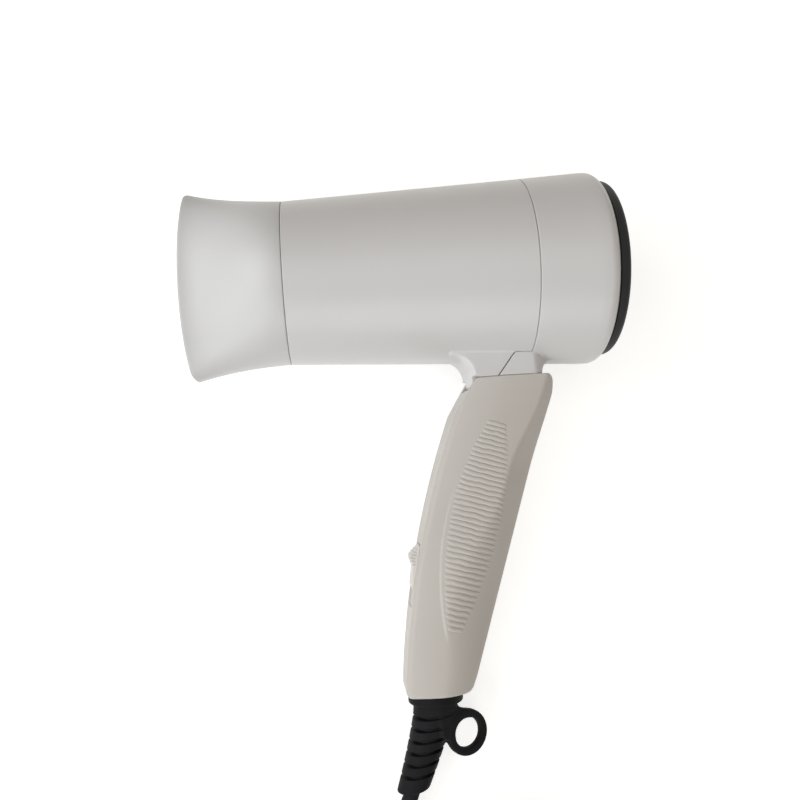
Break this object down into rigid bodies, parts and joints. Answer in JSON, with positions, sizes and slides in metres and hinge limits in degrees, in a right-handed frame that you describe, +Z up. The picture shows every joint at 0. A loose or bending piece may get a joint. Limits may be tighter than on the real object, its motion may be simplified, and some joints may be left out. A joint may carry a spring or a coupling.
{
  "type": "folding hair dryer",
  "caption": "Folding travel hair dryer lying on its side: tapered barrel, fishtail nozzle, ribbed handle, air inlet grille and mains lead with plug.",
  "frame": {"origin": "centre of the footprint of the dryer without its lead, at the height of the floor it lies on", "axes": "+X roughly along the barrel from the nozzle to the air inlet, +Y from the handle towards the barrel, +Z up from the floor, across the dryer"},
  "size_m": [0.1975, 0.3408, 0.0725],
  "materials": {
    "pale_plastic": "smooth, satin to glossy",
    "black_plastic": "fine matte texture",
    "heatproof_plastic": "matte",
    "inner_plastic": "matte",
    "dark_wire": "woven wire",
    "bright_steel": "bright",
    "mica": "flaky pressed mica sheet",
    "resistance_wire": "oxidised wire",
    "fuse_case": "ceramic",
    "copper_winding": "enamelled copper",
    "ferrite": "sintered",
    "bronze": "sintered bronze",
    "circuit_board": "glass epoxy",
    "red_insulation": "wire insulation",
    "film_capacitor": "moulded box",
    "black_rubber": "flexible, matte",
    "cord_jacket": "smooth flexible jacket",
    "plug_brass": "plated"
  },
  "bodies": {
    "handle": {"handle_shell_near": "pale_plastic", "handle_shell_far": "pale_plastic", "handle_screws": "bright_steel", "hinge_pin": "bright_steel", "switch_body": "heatproof_plastic", "capacitor": "film_capacitor", "cord_clamp": "heatproof_plastic", "clamp_screws": "bright_steel", "handle_leads": "red_insulation", "strain_relief": "black_rubber", "power_cord": "cord_jacket", "cord_coil": "cord_jacket", "cord_tail": "cord_jacket", "coil_tie": "black_rubber", "plug_body": "black_rubber", "plug_pins": "plug_brass"},
    "barrel": {"front_casing": "pale_plastic", "rear_casing": "pale_plastic", "inlet_grille": "black_plastic", "inlet_mesh": "dark_wire", "casing_screws": "bright_steel", "outlet_grille": "heatproof_plastic", "mica_liner": "mica", "mica_board_upright": "mica", "mica_board_flat": "mica", "heater_coils": "resistance_wire", "thermostat": "bright_steel", "thermal_fuse": "fuse_case", "fan_housing": "heatproof_plastic", "motor_magnets": "ferrite", "motor_can": "bright_steel", "motor_end_cap": "heatproof_plastic", "motor_bushes": "bronze", "diode_board": "circuit_board", "barrel_leads": "red_insulation"},
    "rotor": {"fan_impeller": "inner_plastic", "motor_shaft": "bright_steel", "armature": "copper_winding"},
    "nozzle": {"nozzle": "pale_plastic"},
    "switch": {"switch_knob": "pale_plastic"}
  },
  "joints": [
    {"name": "handle_fold", "type": "hinge", "parent": "handle", "child": "barrel", "pos_m": [0.0258, 0.03322, 0.02805], "axis": [-0.0549, -0.1372, 0.989], "range_deg": [0, 70]},
    {"name": "nozzle_turn", "type": "hinge", "parent": "barrel", "child": "nozzle", "pos_m": [-0.0417, 0.07543, 0.03016], "axis": [0.9985, -0.0076, 0.0544], "continuous": true},
    {"name": "fan_spin", "type": "hinge", "parent": "barrel", "child": "rotor", "pos_m": [0.03818, 0.07483, 0.03451], "axis": [0.9985, -0.0076, 0.0544], "continuous": true},
    {"name": "switch_slide", "type": "slide", "parent": "handle", "child": "switch", "axis": [-0.211, -0.9665, -0.1458], "range_m": [0, 0.006]}
  ]
}
